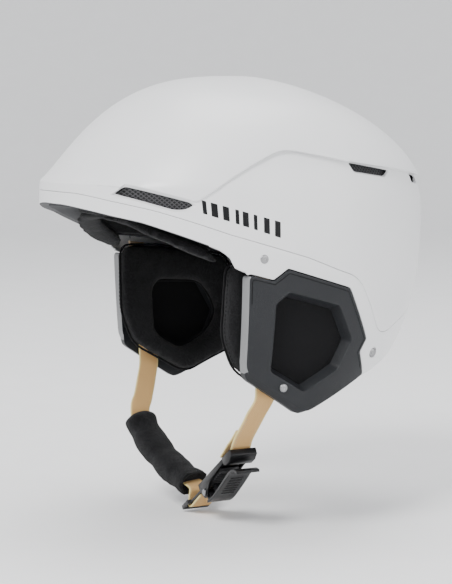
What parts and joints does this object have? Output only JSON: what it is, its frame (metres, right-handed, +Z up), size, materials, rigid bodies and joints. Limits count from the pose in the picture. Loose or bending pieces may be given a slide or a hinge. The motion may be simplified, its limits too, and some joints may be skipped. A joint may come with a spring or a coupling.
{
  "type": "ski helmet",
  "caption": "Hard-shell ski helmet with foam liner, padded ear covers, vents, nape fit dial, goggle strap clip and ratchet-buckle chin strap.",
  "frame": {"origin": "middle of the head cavity in the plane of the fit band, where a head sits (mount head_seat)", "axes": "+Z up along the wearer's head, -Y the way the face looks, +X the wearer's left, where the buckle and its lever are"},
  "size_m": [0.2256, 0.2709, 0.3046],
  "materials": {
    "shell_white": "satin",
    "foam_grey": "matte",
    "fleece_black": "matte",
    "stretch_black": "matte",
    "vent_mesh": "matte",
    "cover_anthracite": "satin",
    "webbing_tan": "satin",
    "plastic_black": "satin",
    "rubber_black": "matte",
    "rivet_silver": "satin"
  },
  "bodies": {
    "helmet": {"crown_shell": "shell_white", "lower_shell": "shell_white", "impact_liner": "foam_grey", "comfort_lining": "fleece_black", "brow_pad": "fleece_black", "nape_pad": "fleece_black", "front_vent_mesh": "vent_mesh", "rear_vent_mesh": "vent_mesh", "ear_cover_left": "cover_anthracite", "ear_cover_right": "cover_anthracite", "ear_fabric_left": "stretch_black", "ear_fabric_right": "stretch_black", "ear_pad_left": "fleece_black", "ear_pad_right": "fleece_black", "ear_web_left": "webbing_tan", "ear_web_right": "webbing_tan", "temple_rivets": "rivet_silver", "rear_rivets": "rivet_silver", "cover_rivets": "rivet_silver", "dial_housing": "plastic_black", "clip_base": "plastic_black", "clip_pin": "rivet_silver"},
    "fit_dial": {"dial_knob": "rubber_black", "dial_pinion": "plastic_black"},
    "belt_left": {"fit_belt_left": "plastic_black"},
    "belt_right": {"fit_belt_right": "plastic_black"},
    "clip_flap": {"goggle_clip": "plastic_black"},
    "chin_strap": {"strap_left": "webbing_tan", "strap_left_tail": "webbing_tan", "strap_right": "webbing_tan", "buckle_body": "plastic_black", "buckle_pin": "rivet_silver", "lever_spring": "rivet_silver", "strap_adjuster": "plastic_black"},
    "release_lever": {"buckle_lever": "plastic_black"},
    "ratchet_tongue": {"ladder": "plastic_black", "strap_chin": "webbing_tan", "chin_pad": "fleece_black"}
  },
  "joints": [
    {"name": "dial_turn", "type": "hinge", "parent": "helmet", "child": "fit_dial", "pos_m": [0, 0.089, -0.076], "axis": [0, 1, 0], "range_deg": [-90, 90]},
    {"name": "belt_left_slide", "type": "slide", "parent": "helmet", "child": "belt_left", "axis": [1, 0, 0], "range_m": [-0.00628, 0.00628]},
    {"name": "belt_right_slide", "type": "slide", "parent": "helmet", "child": "belt_right", "axis": [1, 0, 0], "range_m": [-0.00628, 0.00628]},
    {"name": "clip_open", "type": "hinge", "parent": "helmet", "child": "clip_flap", "pos_m": [0, 0.1316, -0.0145], "axis": [1, 0, 0], "range_deg": [0, 75]},
    {"name": "chin_strap_swing", "type": "hinge", "parent": "helmet", "child": "chin_strap", "pos_m": [0, -0.026, -0.091], "axis": [1, 0, 0], "range_deg": [-25, 35]},
    {"name": "lever_release", "type": "hinge", "parent": "chin_strap", "child": "release_lever", "pos_m": [0.0238, -0.027, -0.1655], "axis": [0, 1, 0], "range_deg": [0, 40], "stiffness_Nm_per_rad": 0.02, "springref_deg": -20.05},
    {"name": "ladder_slide", "type": "slide", "parent": "chin_strap", "child": "ratchet_tongue", "axis": [-0.8261, 0, -0.5635], "range_m": [0, 0.036]}
  ],
  "couplings": [
    {"joint": "dial_turn", "follows": "belt_left_slide", "rad_per_m": 250},
    {"joint": "belt_right_slide", "follows": "belt_left_slide", "ratio": -1}
  ]
}
